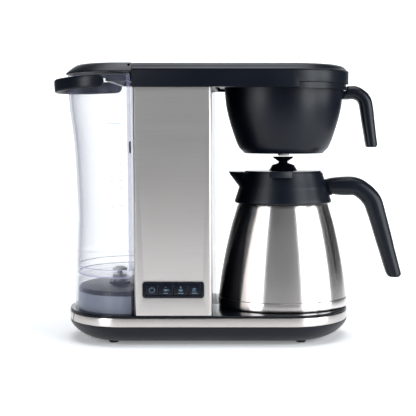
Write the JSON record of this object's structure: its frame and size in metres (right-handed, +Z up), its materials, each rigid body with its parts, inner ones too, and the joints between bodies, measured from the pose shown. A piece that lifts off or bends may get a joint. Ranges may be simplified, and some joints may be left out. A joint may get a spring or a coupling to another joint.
{
  "type": "drip coffee maker",
  "caption": "Countertop drip coffee maker: lift-out clear water tank, steel tower with push keys, slide-out brew basket and vacuum carafe on a low base.",
  "frame": {"origin": "on the floor under the middle of the overall box", "axes": "+X to the right along the base, from the water tank to the carafe; +Y to the back; +Z up"},
  "size_m": [0.3904, 0.1806, 0.304],
  "materials": {
    "black_plastic": "satin, fine grain",
    "steel_brushed": "brushed",
    "steel_bright": "polished",
    "cast_alloy": "as cast",
    "clear_plastic": "clear",
    "grey_plastic": "matt",
    "white_plastic": "matt",
    "silicone": "matt",
    "rubber": "matt",
    "board": "satin"
  },
  "bodies": {
    "machine": {"base_pan": "black_plastic", "base_band": "steel_brushed", "base_deck": "black_plastic", "foot_front_left": "rubber", "foot_front_right": "rubber", "foot_back_left": "rubber", "foot_back_right": "rubber", "base_screw_front_left": "steel_bright", "base_screw_front_right": "steel_bright", "base_screw_back_left": "steel_bright", "base_screw_back_right": "steel_bright", "cord_gland": "black_plastic", "tower_wrap": "steel_brushed", "tower_rear_cover": "black_plastic", "tower_chassis": "grey_plastic", "key_bezel": "black_plastic", "key_pad": "silicone", "control_board": "board", "boiler": "cast_alloy", "heater_element": "steel_bright", "thermostat": "steel_bright", "thermal_fuse": "white_plastic", "power_board": "board", "tank_dock": "black_plastic", "dock_inlet": "grey_plastic", "outlet_seal": "rubber", "check_valve": "white_plastic", "cold_hose_inlet": "silicone", "cold_hose_boiler": "silicone", "riser_hose": "silicone", "arm_housing": "black_plastic", "arm_cover": "black_plastic", "shower_head": "steel_bright"},
    "tank": {"tank_body": "clear_plastic", "lid_bracket": "black_plastic", "lid_pin": "steel_bright"},
    "tank_lid": {"tank_lid": "black_plastic"},
    "tank_bail": {"tank_bail": "black_plastic"},
    "tank_valve": {"tank_valve": "white_plastic", "tank_valve_spring": "steel_bright"},
    "basket": {"brew_basket": "black_plastic", "basket_handle": "black_plastic", "handle_screw_front": "steel_bright", "handle_screw_back": "steel_bright"},
    "drip_valve": {"drip_valve": "white_plastic", "drip_spring": "steel_bright"},
    "carafe": {"carafe_foot": "steel_brushed", "carafe_shell": "steel_brushed", "carafe_liner": "steel_bright", "carafe_collar": "black_plastic", "carafe_handle": "black_plastic"},
    "carafe_lid": {"carafe_lid": "black_plastic", "lid_seal": "silicone"},
    "key_power": {"key_power": "black_plastic"},
    "key_brew": {"key_brew": "black_plastic"},
    "key_bloom": {"key_bloom": "black_plastic"},
    "key_warm": {"key_warm": "black_plastic"}
  },
  "joints": [
    {"name": "tank_lift", "type": "slide", "parent": "machine", "child": "tank", "axis": [0, 0, 1], "range_m": [0, 0.06]},
    {"name": "tank_lid_hinge", "type": "hinge", "parent": "tank", "child": "tank_lid", "pos_m": [-0.10519, 0, 0.301], "axis": [0, 1, 0], "range_deg": [0, 85]},
    {"name": "tank_bail_hinge", "type": "hinge", "parent": "tank", "child": "tank_bail", "pos_m": [-0.1372, 0, 0.2835], "axis": [0, 1, 0], "range_deg": [0, 90]},
    {"name": "tank_valve_slide", "type": "slide", "parent": "tank", "child": "tank_valve", "axis": [0, 0, 1], "range_m": [0, 0.002], "stiffness_N_per_m": 150, "springref_m": -0.002, "deforming": ["tank_valve_spring"]},
    {"name": "basket_slide", "type": "slide", "parent": "machine", "child": "basket", "axis": [1, 0, 0], "range_m": [0, 0.15]},
    {"name": "drip_valve_slide", "type": "slide", "parent": "basket", "child": "drip_valve", "axis": [0, 0, 1], "range_m": [0, 0.002], "stiffness_N_per_m": 150, "springref_m": -0.002, "deforming": ["drip_spring"]},
    {"name": "carafe_slide", "type": "slide", "parent": "machine", "child": "carafe", "axis": [1, 0, 0], "range_m": [0, 0.16]},
    {"name": "carafe_lid_twist", "type": "hinge", "parent": "carafe", "child": "carafe_lid", "pos_m": [0.0606, 0, 0.187], "axis": [0, 0, 1], "range_deg": [0, 45]},
    {"name": "key_power_press", "type": "slide", "parent": "machine", "child": "key_power", "axis": [0, 1, 0], "range_m": [0, 0.0008], "stiffness_N_per_m": 500, "springref_m": -0.0006},
    {"name": "key_brew_press", "type": "slide", "parent": "machine", "child": "key_brew", "axis": [0, 1, 0], "range_m": [0, 0.0008], "stiffness_N_per_m": 500, "springref_m": -0.0006},
    {"name": "key_bloom_press", "type": "slide", "parent": "machine", "child": "key_bloom", "axis": [0, 1, 0], "range_m": [0, 0.0008], "stiffness_N_per_m": 500, "springref_m": -0.0006},
    {"name": "key_warm_press", "type": "slide", "parent": "machine", "child": "key_warm", "axis": [0, 1, 0], "range_m": [0, 0.0008], "stiffness_N_per_m": 500, "springref_m": -0.0006}
  ]
}
